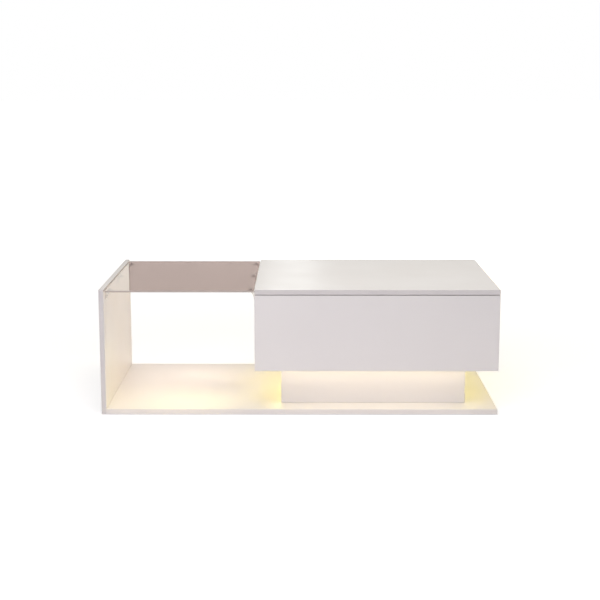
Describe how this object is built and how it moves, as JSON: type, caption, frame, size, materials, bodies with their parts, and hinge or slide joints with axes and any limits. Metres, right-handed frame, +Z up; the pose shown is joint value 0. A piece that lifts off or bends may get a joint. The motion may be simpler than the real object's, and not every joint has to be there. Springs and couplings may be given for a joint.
{
  "type": "lift top coffee table",
  "caption": "Low white coffee table with an open bay under a smoked glass top, a storage box with a lid that lifts up and forward, and a lit set-back plinth.",
  "frame": {"origin": "on the floor, at the bottom centre of the table's bounding box, under the middle of the glides' plane", "axes": "+X along the length, towards the storage box's end; +Y to the back; +Z up. The lid lifts up and towards -Y, the front"},
  "size_m": [1.2, 0.6, 0.385],
  "materials": {
    "white_lacquer": "white lacquered particle board with matching edge bands, low gloss",
    "smoked_glass": "light bronze-grey tempered glass, polished edges",
    "nickel": "nickel plated",
    "clear_pad": "translucent soft pad",
    "black_plastic": "moulded, matte",
    "beech": "raw beech",
    "zinc": "zinc plated",
    "white_plastic": "moulded, satin",
    "black_steel": "black powder coat, fine grain",
    "spring_steel": "drawn spring wire, lightly oiled",
    "led_phosphor": "warm yellow phosphor"
  },
  "bodies": {
    "frame": {"base_board": "white_lacquer", "left_end_panel": "white_lacquer", "plinth_front_board": "white_lacquer", "plinth_rear_board": "white_lacquer", "plinth_left_board": "white_lacquer", "plinth_right_board": "white_lacquer", "box_floor": "white_lacquer", "box_front_panel": "white_lacquer", "box_rear_panel": "white_lacquer", "box_left_panel": "white_lacquer", "box_right_panel": "white_lacquer", "glass_top": "smoked_glass", "glass_supports_end": "nickel", "glass_supports_box": "nickel", "glass_support_screws": "nickel", "glass_pads": "clear_pad", "floor_glides": "black_plastic", "wooden_dowels": "beech", "cam_locks": "zinc", "cam_bolts": "zinc", "base_screws": "zinc", "box_floor_screws": "zinc", "screw_cover_caps": "white_plastic", "lift_plate_left": "black_steel", "lift_plate_right": "black_steel", "lift_plate_screws": "zinc", "frame_pivot_pins": "zinc", "lift_stop_studs": "zinc", "spring_anchor_studs": "zinc", "assist_spring_left": "spring_steel", "assist_spring_right": "spring_steel", "lid_bumpers": "black_plastic", "led_tape": "white_plastic", "led_chips": "led_phosphor", "led_controller": "white_plastic", "power_jack": "black_plastic", "jack_nut": "zinc"},
    "main_arms": {"main_arm_left": "black_steel", "main_arm_right": "black_steel", "cross_tube": "black_steel", "spring_crank_studs": "zinc"},
    "follower_arms": {"follower_arm_left": "black_steel", "follower_arm_right": "black_steel"},
    "lid": {"lift_lid": "white_lacquer", "lid_bracket_left": "black_steel", "lid_bracket_right": "black_steel", "lid_bracket_screws": "zinc", "lid_pivot_pins": "zinc"}
  },
  "joints": [
    {"name": "lift", "type": "hinge", "parent": "frame", "child": "main_arms", "pos_m": [0, -0.12, 0.265], "axis": [1, 0, 0], "range_deg": [0, 110], "deforming": ["assist_spring_left", "assist_spring_right"]},
    {"name": "follower_swing", "type": "hinge", "parent": "frame", "child": "follower_arms", "pos_m": [0, -0.17196, 0.295], "axis": [1, 0, 0], "range_deg": [0, 110]},
    {"name": "lid_level", "type": "hinge", "parent": "main_arms", "child": "lid", "pos_m": [0, 0.1262, 0.30841], "axis": [1, 0, 0], "range_deg": [-110, 0]}
  ],
  "couplings": [
    {"joint": "follower_swing", "follows": "lift", "ratio": 1},
    {"joint": "lid_level", "follows": "lift", "ratio": -1}
  ]
}
